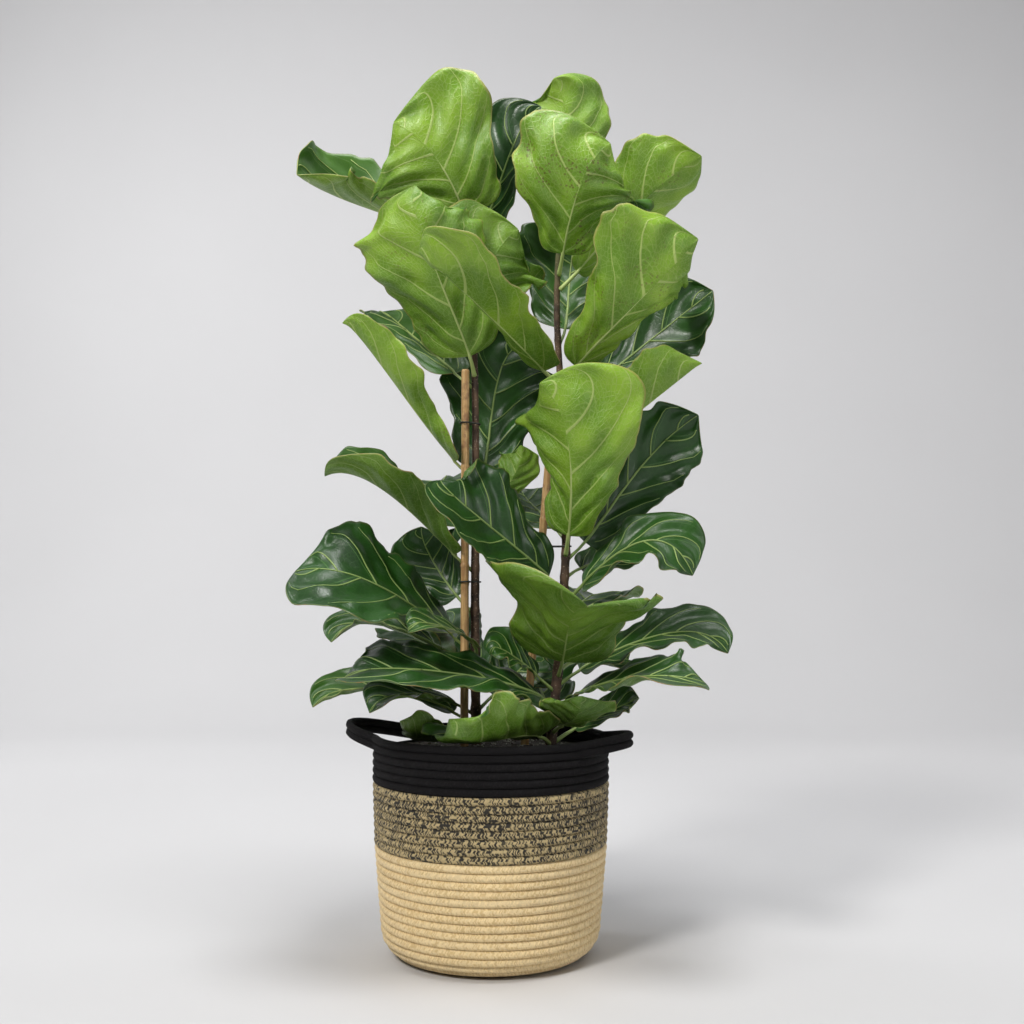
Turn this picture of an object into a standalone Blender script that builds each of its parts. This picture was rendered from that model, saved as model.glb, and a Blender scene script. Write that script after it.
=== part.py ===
"""Fiddle leaf fig: two caned stems in a coiled-rope basket with two rim handles.

Metres, +Z up. The origin is the centre of the flat underside of the basket, and -Y is the front.
"""

import math

import bmesh
import bpy
from mathutils import Matrix, Vector

MM = 0.001
GAP = 0.3 * MM  # left between pieces that touch

# Basket: rows of one rope, coiled and sewn, in four sewn bands
ROW = 9.6 * MM
WALL = 9.5 * MM
NATURAL_ROWS = 14
HEATHER_ROWS = 8
BLACK_ROWS = 4
RIM_ROWS = 2
FLOOR_TOP = 9.0 * MM
RIM_RADIUS = 150 * MM
BAND_RADIUS = 147 * MM
BODY_RADIUS = 138 * MM
FOOT_RADIUS = 104 * MM
SHOULDER = 34 * MM  # where the rounded foot ends
FOOT_HEIGHTS = (22 * MM, 12 * MM, 5 * MM, 1.5 * MM, 0)
BODY_HEIGHTS = (100 * MM, 66 * MM, SHOULDER)
AROUND = 48
RIM_AROUND = 96

# Handles: the rim rows leave the wall and bow outwards on two sides
HANDLE_HALF_ANGLE = math.radians(27)
# The way each points, how far it bows out and how far it lifts, in degrees and mm
HANDLES = ((-18, 34, 8), (162, 50, 13))

# Soil: meets the wall just under the rim rows and rises to the stems
SOIL_EDGE = 247 * MM
SOIL_TOP = 254 * MM
HOLE_CUT = 110 * MM  # length of each hole's cutter, which ends above the soil

# Stems and canes: points on the centre line, in mm
STEM_POINTS = {
    "left": [(-19, 8, 229), (-21, 8, 400), (-21, 6, 520), (-21, 6, 660), (-24, 4, 800), (-30, 0, 940)],
    "right": [(74, 6, 229), (90, 6, 400), (97, 4, 520), (94, 4, 660), (86, 6, 820), (94, 6, 990)],
}
STEM_RADII = {"left": (6.5, 3.4), "right": (6.5, 3.4)}  # mm, at the soil and at the top
CANE_ENDS = {
    "left": [(-34, -6, 185), (-34, -6, 738)],
    "right": [(37, 14, 185), (82, 14, 700)],
}
CANE_RADIUS = 5.5 * MM
TIE_RADIUS = 1.1 * MM
TIES = (("tie_left_upper", "left", 668), ("tie_left_lower", "left", 462), ("tie_right", "right", 508))

# Leaves
PETIOLE_RADIUS = 2.2 * MM
PETIOLE_LENGTH = 30 * MM
PETIOLE_START = 2.1  # mm between the stem's side and the petiole's centre line
PETIOLE_RISE = 0.75  # how steeply a petiole leaves the stem: its rise over its run
PETIOLE_PULL = 0.42  # how long it keeps that way, as a share of the distance to the middle of the leaf
LINE_STEPS = 120
BLADE_HALF = 0.5 * MM  # half of the blade's thickness between midrib and margin
RIB_DEPTH = 2.6 * MM
RIB_HALF = 2.0 * MM
OUTER_FOLD = 1.5  # the outer half of each side folds this many times as far as the inner half
FACE_SHARE = 0.55  # where along a leaf the stated way of its upper face holds
# Share of the way along the blade, share of the full half width, sweep of the margin in mm
BLADE_STATIONS = (
    (0.03, 0.38, -8), (0.11, 0.56, -4), (0.23, 0.61, 0), (0.37, 0.72, 3), (0.51, 0.89, 4),
    (0.65, 1.00, 4), (0.78, 0.97, 2), (0.89, 0.76, 0), (0.96, 0.42, -2), (1.0, 0.07, 0),
)
# Leaves with a wedge-shaped base, and the share of the breadth that is taken off at its start
WEDGE_BASES = {"leaf_r03": 0.5, "leaf_r04": 0.45, "leaf_r06": 0.5, "leaf_r09": 0.5}
WEDGE_END = 0.6  # share of the way along the blade where the wedge meets the full breadth

# One row a leaf: name, stem, height on the stem, the way round it points as it leaves (0 = +X,
# 90 = +Y), middle of the midrib, tip, the way the upper face looks, width, the fold of the right
# and of the left half towards the upper face in degrees, marginal wave, twist in degrees.
LEAVES = (
    # left stem
    ("leaf_l01", "left", 905, 150, (-150, 66, 970), (-258, 0, 1000), (0.1, -0.35, 1), 150, 40, 32, 4, 0),
    ("leaf_l02", "left", 920, 265, (-56, -52, 980), (-124, -60, 1046), (0.1, 1, 0.3), 200, 6, 8, 4, 0),
    ("leaf_l03", "left", 735, 265, (-66, -84, 842), (-94, -98, 950), (0.25, 1, 0.2), 185, 12, 42, 5, 0),
    ("leaf_l04", "left", 775, 310, (-8, -28, 836), (34, -38, 914), (-0.2, 1, 0.2), 160, 12, 12, 5, 0),
    ("leaf_l05", "left", 600, 190, (-118, -40, 706), (-186, -58, 786), (0.7, -0.1, 0.9), 98, 32, 40, 3, 0),
    ("leaf_l06", "left", 590, 60, (0, 62, 698), (42, 96, 796), (0.1, -1, 0.3), 165, 8, 8, 3, 0),
    ("leaf_l07", "left", 545, 350, (24, -4, 590), (38, -6, 638), (0, 1, 0.2), 62, 20, 20, 3, 0),
    ("leaf_l08", "left", 480, 180, (-110, -40, 556), (-204, -66, 592), (0, -0.4, 1), 105, 32, 45, 4, -30),
    ("leaf_l09", "left", 425, 150, (-72, 42, 480), (-94, 50, 536), (-0.3, -1, 0.4), 104, 10, 10, 4, 0),
    ("leaf_l10", "left", 375, 180, (-118, -66, 444), (-236, -88, 472), (0, -0.65, 0.75), 168, 14, 5, 4, 0),
    ("leaf_l11", "left", 350, 165, (-124, 52, 400), (-210, 34, 384), (0, -0.3, 1), 74, 20, 20, 3, 0),
    ("leaf_l12", "left", 368, 285, (-54, -92, 404), (-94, -130, 402), (0, -0.6, 0.8), 54, 20, 10, 2, 0),
    ("leaf_l13", "left", 280, 150, (-130, 34, 318), (-228, 6, 302), (0, -0.4, 1), 76, 20, 25, 4, 0),
    ("leaf_l14", "left", 296, 182, (-92, -36, 320), (-146, -72, 302), (0, -0.5, 1), 84, 10, 20, 3, 0),
    ("leaf_l15", "left", 262, 184, (-68, -30, 266), (-112, -48, 288), (0.5, 0.8, 0.5), 84, 20, 10, 3, 0),
    ("leaf_l16", "left", 912, 35, (14, 8, 1002), (64, -8, 1090), (-0.2, -1, 0.4), 118, 20, 12, 4, 0),
    # right stem
    ("leaf_r01", "right", 972, 90, (100, 48, 1064), (84, 40, 1150), (-0.1, 1, 0.2), 138, 15, 15, 5, 0),
    ("leaf_r03", "right", 870, 280, (104, -66, 934), (150, -78, 1012), (0, 1, 0.2), 216, 4, 26, 6, 0),
    ("leaf_r04", "right", 850, 335, (168, -6, 930), (270, -40, 1010), (-0.4, 0.9, 0.4), 132, 16, 26, 5, 0),
    ("leaf_r05", "right", 720, 215, (-4, -118, 784), (-84, -146, 850), (0.5, 0.9, 0.5), 134, 56, 0, 4, 0),
    ("leaf_r06", "right", 725, 310, (170, -68, 796), (258, -84, 886), (-0.3, 0.9, 0.4), 196, 6, 36, 5, 0),
    ("leaf_r07", "right", 690, 20, (162, 44, 746), (292, 10, 846), (0.2, -0.9, 0.5), 128, 10, 5, 3, 0),
    ("leaf_r08", "right", 610, 340, (186, -24, 676), (266, -46, 738), (-0.2, 0.1, 1), 120, 46, 40, 2, 0),
    ("leaf_r09", "right", 500, 275, (100, -66, 596), (62, -96, 702), (0.1, 1, 0.25), 218, 46, 4, 4, 0),
    ("leaf_r10", "right", 495, 10, (172, 26, 582), (270, 10, 680), (0.4, -1, 0.3), 118, 10, 5, 4, 0),
    ("leaf_r11", "right", 470, 40, (146, 60, 492), (188, 76, 530), (0.2, -1, 0.5), 70, 15, 15, 3, 0),
    ("leaf_r12", "right", 452, 232, (6, -76, 522), (-60, -96, 582), (0.4, -0.9, 0.5), 142, 14, 14, 4, 0),
    ("leaf_r13", "right", 440, 330, (170, -40, 502), (250, -58, 470), (0, -0.6, 0.8), 112, 10, 5, 5, 0),
    ("leaf_r14", "right", 345, 285, (94, -92, 400), (112, -166, 430), (0.1, 0.8, 0.6), 226, 20, 20, 6, 0),
    ("leaf_r15", "right", 350, 55, (146, 62, 360), (186, 76, 366), (0, -0.6, 1), 70, 15, 15, 3, 0),
    ("leaf_r16", "right", 334, 0, (200, 4, 388), (300, -14, 372), (0, -0.5, 1), 108, 10, 12, 5, 0),
    ("leaf_r17", "right", 304, 340, (164, -84, 342), (254, -118, 340), (0, -0.55, 1), 112, 10, 10, 4, 0),
    ("leaf_r18", "right", 260, 15, (138, 30, 286), (192, 28, 310), (0, -0.4, 1), 62, 15, 15, 3, 0),
    ("leaf_r19", "right", 272, 290, (98, -50, 288), (110, -86, 322), (-0.2, 0.8, 0.6), 96, 15, 10, 4, 0),
    ("leaf_r20", "right", 300, 255, (-44, -104, 350), (-170, -120, 346), (0, -0.55, 1), 140, 5, 10, 4, 0),
    ("leaf_r21", "right", 326, 215, (30, -34, 366), (0, -48, 372), (0, -0.7, 0.7), 62, 20, 20, 6, 0),
    ("leaf_r22", "right", 258, 245, (8, -104, 272), (-46, -150, 300), (0.2, 0.8, 0.7), 158, 25, 15, 6, 0),
    # far side, both stems
    ("leaf_b01", "left", 850, 100, (-52, 96, 930), (-70, 130, 1000), (0, -0.9, 0.6), 140, 12, 12, 4, 0),
    ("leaf_b02", "left", 720, 175, (-110, 70, 800), (-160, 120, 846), (0.3, -0.7, 0.8), 120, 12, 12, 4, 0),
    ("leaf_b03", "left", 520, 110, (-60, 112, 585), (-96, 184, 600), (0, -0.4, 1), 140, 10, 10, 4, 0),
    ("leaf_b04", "left", 330, 110, (-70, 110, 382), (-110, 190, 380), (0, -0.5, 1), 150, 10, 10, 4, 0),
    ("leaf_b05", "right", 780, 60, (104, 56, 856), (120, 76, 960), (0, -1, 0.3), 168, 12, 12, 4, 0),
    ("leaf_b06", "right", 640, 70, (140, 110, 700), (190, 160, 750), (-0.2, -0.7, 1), 140, 10, 10, 4, 0),
    ("leaf_b07", "right", 520, 120, (60, 110, 565), (40, 180, 600), (0, -0.4, 1), 130, 10, 10, 4, 0),
    ("leaf_b08", "right", 400, 70, (130, 110, 440), (160, 200, 430), (0, -0.2, 1), 140, 10, 10, 4, 0),
    ("leaf_b09", "right", 290, 110, (56, 110, 336), (30, 190, 340), (0, -0.5, 1), 150, 10, 10, 4, 0),
    ("leaf_b10", "left", 300, 45, (20, 42, 330), (60, 66, 372), (0, -0.8, 0.5), 112, 15, 15, 4, 0),
)

COLLECTION = "fiddle_leaf_fig"


def empty_scene():
    for found in list(bpy.data.objects):
        bpy.data.objects.remove(found, do_unlink=True)


def new_collection(name, helpers=False):
    made = bpy.data.collections.new(name)
    made.hide_render = helpers
    bpy.context.scene.collection.children.link(made)
    return made


def material(name, colour, roughness):
    made = bpy.data.materials.new(name)
    made.use_nodes = True
    shader = made.node_tree.nodes["Principled BSDF"]
    shader.inputs["Base Color"].default_value = (*colour, 1)
    shader.inputs["Roughness"].default_value = roughness
    return made


def finish(name, mesh, look, collection):
    """Puts a mesh in the scene as one named piece, with its faces turned outwards."""
    shape = bmesh.new()
    shape.from_mesh(mesh)
    bmesh.ops.recalc_face_normals(shape, faces=shape.faces)
    if shape.calc_volume(signed=True) < 0:
        bmesh.ops.reverse_faces(shape, faces=shape.faces)
    shape.to_mesh(mesh)
    shape.free()
    mesh.materials.clear()
    mesh.materials.append(look)
    for face in mesh.polygons:
        face.use_smooth = True
    piece = bpy.data.objects.new(name, mesh)
    collection.objects.link(piece)
    return piece


def mesh_of(made, merge=0.00001):
    """The finished mesh of an object with modifiers or of a curve; the object itself goes."""
    bpy.context.view_layer.update()
    graph = bpy.context.evaluated_depsgraph_get()
    mesh = bpy.data.meshes.new_from_object(made.evaluated_get(graph))
    bpy.data.objects.remove(made, do_unlink=True)
    shape = bmesh.new()
    shape.from_mesh(mesh)
    bmesh.ops.remove_doubles(shape, verts=shape.verts, dist=merge)
    shape.to_mesh(mesh)
    shape.free()
    return mesh


def turned(profile, steps=AROUND):
    """The mesh that a closed outline of (radius, height) points makes when it turns round the Z axis."""
    mesh = bpy.data.meshes.new("profile")
    points = [(radius, 0, height) for radius, height in profile]
    edges = [(i, (i + 1) % len(points)) for i in range(len(points))]
    mesh.from_pydata(points, edges, [])
    made = bpy.data.objects.new("profile", mesh)
    bpy.context.scene.collection.objects.link(made)
    screw = made.modifiers.new("turn", "SCREW")
    screw.steps = steps
    screw.render_steps = steps
    screw.use_merge_vertices = True
    screw.merge_threshold = 0.00005
    return mesh_of(made)


def outer_radius(height):
    """The outside of the basket at a height: a rounded foot, then a slight flare to the rim."""
    if height < SHOULDER:
        share = 1 - height / SHOULDER
        return FOOT_RADIUS + (BODY_RADIUS - FOOT_RADIUS) * math.sqrt(max(0.0, 1 - share * share))
    band_start = NATURAL_ROWS * ROW
    if height < band_start:
        share = (height - SHOULDER) / (band_start - SHOULDER)
        return BODY_RADIUS + (BAND_RADIUS - BODY_RADIUS) * share
    share = min(1.0, (height - band_start) / (HEATHER_ROWS * ROW))
    return BAND_RADIUS + (RIM_RADIUS - BAND_RADIUS) * share


def wall_ring(low, high):
    """The profile of one band of the wall, from its lower row to its upper row."""
    heights = [high, (low + high) / 2, low]
    outside = [(outer_radius(height), height) for height in heights]
    inside = [(radius - WALL, height) for radius, height in reversed(outside)]
    return outside + inside


def handle_pull(angle):
    """How far out and how far up the rim rows are drawn at an angle round the basket."""
    for middle, reach, rise in HANDLES:
        away = abs((angle - math.radians(middle) + math.pi) % (2 * math.pi) - math.pi)
        if away < HANDLE_HALF_ANGLE:
            share = (0.5 + 0.5 * math.cos(math.pi * away / HANDLE_HALF_ANGLE)) ** 0.7
            return reach * share * MM, rise * share * MM
    return 0.0, 0.0


def build_basket(collection, looks):
    natural_top = NATURAL_ROWS * ROW
    heather_top = natural_top + HEATHER_ROWS * ROW
    black_top = heather_top + BLACK_ROWS * ROW
    rim_top = black_top + RIM_ROWS * ROW

    # Floor and natural band: one bowl
    outside = [(outer_radius(height), height) for height in (natural_top, *BODY_HEIGHTS, *FOOT_HEIGHTS)]
    inner_heights = (16 * MM, *reversed(BODY_HEIGHTS), natural_top)
    inside = [(outer_radius(height) - WALL, height) for height in inner_heights]
    bowl = outside + [(0, 0), (0, FLOOR_TOP), (outer_radius(5 * MM) - WALL, FLOOR_TOP)] + inside
    finish("basket_natural", turned(bowl), looks["natural"], collection)

    for name, low, high, look in (
        ("basket_heather", natural_top + GAP, heather_top, "heather"),
        ("basket_black", heather_top + GAP, black_top, "black"),
    ):
        finish(name, turned(wall_ring(low, high)), looks[look], collection)

    # Rim rows, drawn out and up at the two handles
    rim = turned(wall_ring(black_top + GAP, rim_top), RIM_AROUND)
    for vertex in rim.vertices:
        place = vertex.co
        angle = math.atan2(place.y, place.x)
        reach, rise = handle_pull(angle)
        radius = math.hypot(place.x, place.y) + reach
        place.x = radius * math.cos(angle)
        place.y = radius * math.sin(angle)
        place.z += rise
    finish("basket_rim_handles", rim, looks["black"], collection)


def tube(name, points, radii, look, collection, sides=3, cyclic=False):
    """A round rod along a line of points, with a radius at each."""
    curve = bpy.data.curves.new(name, "CURVE")
    curve.dimensions = "3D"
    curve.bevel_depth = 1.0
    curve.bevel_resolution = sides - 1
    curve.use_fill_caps = not cyclic
    line = curve.splines.new("POLY")
    line.points.add(len(points) - 1)
    line.use_cyclic_u = cyclic
    for spot, place, radius in zip(line.points, points, radii):
        spot.co = (*place, 1)
        spot.radius = radius
    made = bpy.data.objects.new(name + "_line", curve)
    collection.objects.link(made)
    return finish(name, mesh_of(made, 0.000001), look, collection)


def along(points, height):
    """The point of a rising line of points at a height."""
    for low, high in zip(points, points[1:]):
        if height <= high[2] or high is points[-1]:
            share = (height - low[2]) / (high[2] - low[2])
            return Vector(low).lerp(Vector(high), share)
    return Vector(points[-1])


def stem_radius(stem, height):
    """The radius of a stem at a height, both in mm."""
    thick, thin = STEM_RADII[stem]
    points = STEM_POINTS[stem]
    share = (height - points[0][2]) / (points[-1][2] - points[0][2])
    return thick + (thin - thick) * min(1.0, max(0.0, share))


def build_stems(collection, looks):
    for stem, points in STEM_POINTS.items():
        radii = [stem_radius(stem, point[2]) * MM for point in points]
        tube(f"stem_{stem}", [Vector(point) * MM for point in points], radii, looks["bark"], collection)
    for side, ends in CANE_ENDS.items():
        places = [Vector(point) * MM for point in ends]
        tube(f"cane_{side}", places, [CANE_RADIUS] * 2, looks["bamboo"], collection)


def build_ties(collection, looks):
    """A loop of cord round a cane and a stem at each tie: two round ends and two straight runs."""
    for name, side, height in TIES:
        cane = along(CANE_ENDS[side], height)
        stem = along(STEM_POINTS[side], height)
        across = stem - cane
        heading = math.atan2(across.y, across.x)
        loop = []
        for centre, radius, start in (
            (stem, stem_radius(side, height) * MM, heading - math.pi / 2),
            (cane, CANE_RADIUS, heading + math.pi / 2),
        ):
            reach = radius + TIE_RADIUS + 2 * GAP
            for step in range(7):
                angle = start + math.pi * step / 6
                out = Vector((math.cos(angle), math.sin(angle), 0)) * reach
                loop.append(Vector((centre.x, centre.y, height)) * MM + out)
        tube(name, loop, [TIE_RADIUS] * len(loop), looks["tie"], collection, sides=2, cyclic=True)


def build_soil(collection, helpers, looks):
    """Soil that fills the basket, with a hole for each cane and stem."""
    heights = (220 * MM, 135 * MM, 66 * MM, SHOULDER, 16 * MM)
    wall = [(outer_radius(height) - WALL - GAP, height) for height in heights]
    top = [(0, SOIL_TOP), (60 * MM, SOIL_TOP - 1 * MM), (112 * MM, SOIL_EDGE + 1 * MM)]
    edge = outer_radius(SOIL_EDGE) - WALL - GAP
    floor = [(outer_radius(5 * MM) - WALL - GAP, FLOOR_TOP + GAP), (0, FLOOR_TOP + GAP)]
    mesh = turned(top + [(edge, SOIL_EDGE)] + wall + floor)
    soil = finish("soil", mesh, looks["soil"], collection)
    for kind, lines, radius in (
        ("cane", CANE_ENDS, CANE_RADIUS + 2 * GAP),
        ("stem", STEM_POINTS, STEM_RADII["left"][0] * MM + 2 * GAP),
    ):
        for side, points in lines.items():
            foot = Vector(points[0]) * MM
            rise = (Vector(points[1]) * MM - foot).normalized()
            low = foot - rise * 3 * GAP
            high = foot + rise * HOLE_CUT
            cutter = tube(f"hole_{kind}_{side}", [low, high], [radius] * 2, looks["soil"], helpers, 4)
            cutter.display_type = "WIRE"
            cut = soil.modifiers.new(cutter.name, "BOOLEAN")
            cut.operation = "DIFFERENCE"
            cut.solver = "EXACT"
            cut.object = cutter


def leaf_line(stem, height, heading, middle, tip):
    """Points close together along the petiole and midrib, from the stem to the tip."""
    axis = along(STEM_POINTS[stem], height)
    angle = math.radians(heading)
    out = Vector((math.cos(angle), math.sin(angle), 0))
    start = axis + out * (stem_radius(stem, height) + PETIOLE_START)
    middle = Vector(middle)
    tip = Vector(tip)
    reach = PETIOLE_PULL * (middle - start).length
    first = start + (out + Vector((0, 0, PETIOLE_RISE))).normalized() * reach
    second = (8 * middle - start - 3 * first - tip) / 3
    line = []
    for i in range(LINE_STEPS + 1):
        t = i / LINE_STEPS
        s = 1 - t
        line.append((s ** 3 * start + 3 * s * s * t * first + 3 * s * t * t * second + t ** 3 * tip) * MM)
    return line


def frames_along(line, face, twist):
    """The way along, across and up at each point; the across and up turn no more than they must."""
    count = len(line)
    forward = []
    for i in range(count):
        forward.append((line[min(i + 1, count - 1)] - line[max(i - 1, 0)]).normalized())
    centre = int(count * FACE_SHARE)
    up = [None] * count
    face = Vector(face)
    up[centre] = (face - face.dot(forward[centre]) * forward[centre]).normalized()
    for order in (range(centre + 1, count), range(centre - 1, -1, -1)):
        last = centre
        for i in order:
            carried = up[last] - up[last].dot(forward[i]) * forward[i]
            up[i] = carried.normalized()
            last = i
    frames = []
    for i in range(count):
        turn = Matrix.Rotation(math.radians(twist) * (i / count - FACE_SHARE), 3, forward[i])
        lifted = turn @ up[i]
        frames.append((forward[i], forward[i].cross(lifted), lifted))
    return frames


def blade_ring(centre, frame, half, folds, sweep, waves):
    """Ten points round the blade: right margin, three above, left margin, five below with the rib."""
    forward, across, up = frame
    thin = min(BLADE_HALF, half * 0.3)
    above = []
    below = []
    margin = []
    for side, fold, wave in ((1, folds[0], waves[0]), (-1, folds[1], waves[1])):
        low = math.radians(fold)
        high = math.radians(fold * OUTER_FOLD)
        inner = across * side * math.cos(low) + up * math.sin(low)
        outer = across * side * math.cos(high) + up * math.sin(high)
        square = up * math.cos((low + high) / 2) - across * side * math.sin((low + high) / 2)
        quarter = centre + inner * half * 0.5 + forward * sweep * 0.3
        above.append(quarter + square * thin)
        below.append(quarter - square * thin)
        lift = up * math.cos(high) - across * side * math.sin(high)
        margin.append(quarter + outer * half * 0.5 + forward * sweep * 0.7 + lift * wave)
    rib = min(RIB_DEPTH, half * 0.6)
    rib_half = min(RIB_HALF, half * 0.25)
    return [
        margin[0], above[0], centre + up * thin, above[1], margin[1],
        below[1], centre - up * thin * 1.4 - across * rib_half, centre - up * rib,
        centre - up * thin * 1.4 + across * rib_half, below[0],
    ]


def petiole_ring(centre, frame, radius):
    """Ten points round the petiole, in the same order as blade_ring's."""
    _, across, up = frame
    ring = []
    for degrees in (0, 45, 90, 135, 180, 214, 244, 270, 296, 326):
        angle = math.radians(degrees)
        ring.append(centre + (across * math.cos(angle) + up * math.sin(angle)) * radius)
    return ring


def leaf_mesh(name, line, frames, width, folds, wave):
    length = [0.0]
    for a, b in zip(line, line[1:]):
        length.append(length[-1] + (b - a).length)
    total = length[-1]
    blade = total - PETIOLE_LENGTH

    def at(distance):
        index = min(range(len(length)), key=lambda i: abs(length[i] - distance))
        return line[index], frames[index]

    rings = []
    for share, grown in ((0, 1.25), (0.5, 1.0), (0.93, 1.05)):
        place, frame = at(PETIOLE_LENGTH * share)
        rings.append(petiole_ring(place, frame, PETIOLE_RADIUS * grown))
    for number, (share, breadth, sweep) in enumerate(BLADE_STATIONS):
        place, frame = at(PETIOLE_LENGTH + blade * share)
        breadth *= 1 - WEDGE_BASES.get(name, 0) * max(0.0, 1 - share / WEDGE_END)
        opening = min(1.0, 0.35 + 2.2 * share)
        bend = [fold * opening for fold in folds]
        lift = wave * MM * min(1.0, breadth) * (1 if number % 2 else -1)
        if number in (0, len(BLADE_STATIONS) - 1):
            lift = 0.0
        half = width * MM * 0.5 * breadth
        rings.append(blade_ring(place, frame, half, bend, sweep * MM, (lift, -lift)))

    shape = bmesh.new()
    made = [[shape.verts.new(point) for point in ring] for ring in rings]
    around = len(rings[0])
    for ring, following in zip(made, made[1:]):
        for i in range(around):
            j = (i + 1) % around
            shape.faces.new((ring[i], ring[j], following[j], following[i]))
    shape.faces.new(list(reversed(made[0])))
    shape.faces.new(made[-1])
    bmesh.ops.triangulate(shape, faces=shape.faces)
    mesh = bpy.data.meshes.new(name)
    shape.to_mesh(mesh)
    shape.free()
    return mesh


def build_leaves(collection, looks):
    for name, stem, height, heading, middle, tip, face, width, right, left, wave, twist in LEAVES:
        line = leaf_line(stem, height, heading, middle, tip)
        frames = frames_along(line, face, twist)
        mesh = leaf_mesh(name, line, frames, width, (right, left), wave)
        finish(name, mesh, looks["leaf"], collection)


def main():
    empty_scene()
    collection = new_collection(COLLECTION)
    helpers = new_collection("cutters", helpers=True)
    looks = {
        "natural": material("natural_rope", (0.72, 0.52, 0.27), 0.9),
        "heather": material("heather_rope", (0.30, 0.24, 0.15), 0.9),
        "black": material("black_rope", (0.012, 0.011, 0.012), 0.9),
        "soil": material("potting_soil", (0.03, 0.022, 0.018), 1.0),
        "bark": material("stem_bark", (0.09, 0.05, 0.03), 0.8),
        "bamboo": material("bamboo_cane", (0.50, 0.30, 0.12), 0.45),
        "tie": material("tie_cord", (0.01, 0.01, 0.01), 0.7),
        "leaf": material("leaf_green", (0.06, 0.17, 0.03), 0.4),
    }
    build_basket(collection, looks)
    build_soil(collection, helpers, looks)
    build_stems(collection, looks)
    build_ties(collection, looks)
    build_leaves(collection, looks)


main()
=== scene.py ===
"""Fiddle leaf fig in a coiled-rope basket: the finished shape and surface of every piece.

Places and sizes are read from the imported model. The basket is coiled from separate rope rows, each
leaf is a blade with raised veins that is fitted to its solid, and the trunks, canes and soil follow
theirs. Metres, +Z up, and -Y is the front.
"""

import math
import random

import bmesh
import bpy
import numpy as np
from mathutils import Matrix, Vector, noise


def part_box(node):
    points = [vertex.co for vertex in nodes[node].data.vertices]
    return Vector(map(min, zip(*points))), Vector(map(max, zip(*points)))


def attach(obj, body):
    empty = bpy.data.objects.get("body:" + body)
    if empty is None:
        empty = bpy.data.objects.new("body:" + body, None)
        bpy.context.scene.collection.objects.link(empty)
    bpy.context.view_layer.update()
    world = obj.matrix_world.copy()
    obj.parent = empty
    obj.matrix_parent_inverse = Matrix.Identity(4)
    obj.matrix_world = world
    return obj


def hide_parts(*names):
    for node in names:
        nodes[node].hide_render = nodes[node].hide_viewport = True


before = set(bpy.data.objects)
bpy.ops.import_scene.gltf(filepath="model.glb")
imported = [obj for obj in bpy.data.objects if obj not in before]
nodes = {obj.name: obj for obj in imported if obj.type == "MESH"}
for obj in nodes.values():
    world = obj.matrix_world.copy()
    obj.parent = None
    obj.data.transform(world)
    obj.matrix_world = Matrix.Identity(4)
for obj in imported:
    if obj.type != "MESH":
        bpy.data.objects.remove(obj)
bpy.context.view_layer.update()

MM = 0.001
WELD = 0.01 * MM
FLAT = 0.999999  # least cosine between faces that are taken as one

# Basket: rows of rope in each band, and how far round a row is divided
BANDS = (
    ("basket_natural", 14, "natural_rope"),
    ("basket_heather", 8, "heather_rope"),
    ("basket_black", 4, "black_rope"),
    ("basket_rim_handles", 2, "black_rope"),
)
ROPE_HALF = 4.75 * MM
ROPE_SQUEEZE = 1.06  # a row is a little taller than its spacing, so that rows press together
AROUND = 192
FOOT_TURN = 34 * MM  # radius of the rounded foot
FOOT_ROWS = 15  # rows in the natural band, round the foot as well
ROPE_SIDES = 12
BRAID_LANES = 10.0  # lanes of slanting strands round one rope

# Soil
SOIL_FALL = 7 * MM  # from its middle to its edge
SOIL_ROUND = 1.4
SOIL_RINGS = 26
CRUMBS = 620

# Leaves
BLADE_ROWS = 72
BLADE_COLUMNS = 32
BLADE_THICK = 0.9 * MM
PETIOLE_RINGS = 3
SOFTENING = 8  # passes that round off the outline of a blade
VEINS = 4.7  # side veins in the length of a blade
VEIN_SLANT = 0.22
VEIN_CURVE = 0.17
VEIN_STAGGER = 0.42
MOST_VEINS = 8  # numbers that are tried for a side vein
VEIN_REACH = 0.9  # share of the half width that a raised vein runs across
VEIN_STEPS = 15
PILLOW = 2.6  # mm that the blade swells between side veins
RUFFLE = 13.0  # mm that the margin waves
WANDER = 11.0  # mm that the whole blade rolls
UNEVEN = 0.16  # share of the half width that the outline moves in and out
STEM_REACH = 4.5 * MM  # how far a petiole runs on into its stem

# How young each leaf is, from 0, dark and leathery, to 1, pale and fresh
YOUTH = {
    "leaf_l01": 0.70, "leaf_l02": 0.80, "leaf_l03": 0.72, "leaf_l04": 0.50, "leaf_l05": 0.72,
    "leaf_l06": 0.10, "leaf_l07": 0.62, "leaf_l08": 0.38, "leaf_l09": 0.05, "leaf_l10": 0.05,
    "leaf_l11": 0.15, "leaf_l12": 0.20, "leaf_l13": 0.30, "leaf_l14": 0.10, "leaf_l15": 0.30,
    "leaf_l16": 0.05,
    "leaf_r01": 0.80, "leaf_r03": 0.86, "leaf_r04": 0.92, "leaf_r05": 0.80, "leaf_r06": 0.88,
    "leaf_r07": 0.10, "leaf_r08": 0.66, "leaf_r09": 0.78, "leaf_r10": 0.06, "leaf_r11": 0.20,
    "leaf_r12": 0.06, "leaf_r13": 0.12, "leaf_r14": 0.42, "leaf_r15": 0.15, "leaf_r16": 0.12,
    "leaf_r17": 0.15, "leaf_r18": 0.15, "leaf_r19": 0.35, "leaf_r20": 0.08, "leaf_r21": 0.15,
    "leaf_r22": 0.42,
    "leaf_b01": 0.55, "leaf_b02": 0.40, "leaf_b03": 0.20, "leaf_b04": 0.10, "leaf_b05": 0.30,
    "leaf_b06": 0.30, "leaf_b07": 0.20, "leaf_b08": 0.10, "leaf_b09": 0.10, "leaf_b10": 0.15,
}
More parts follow.
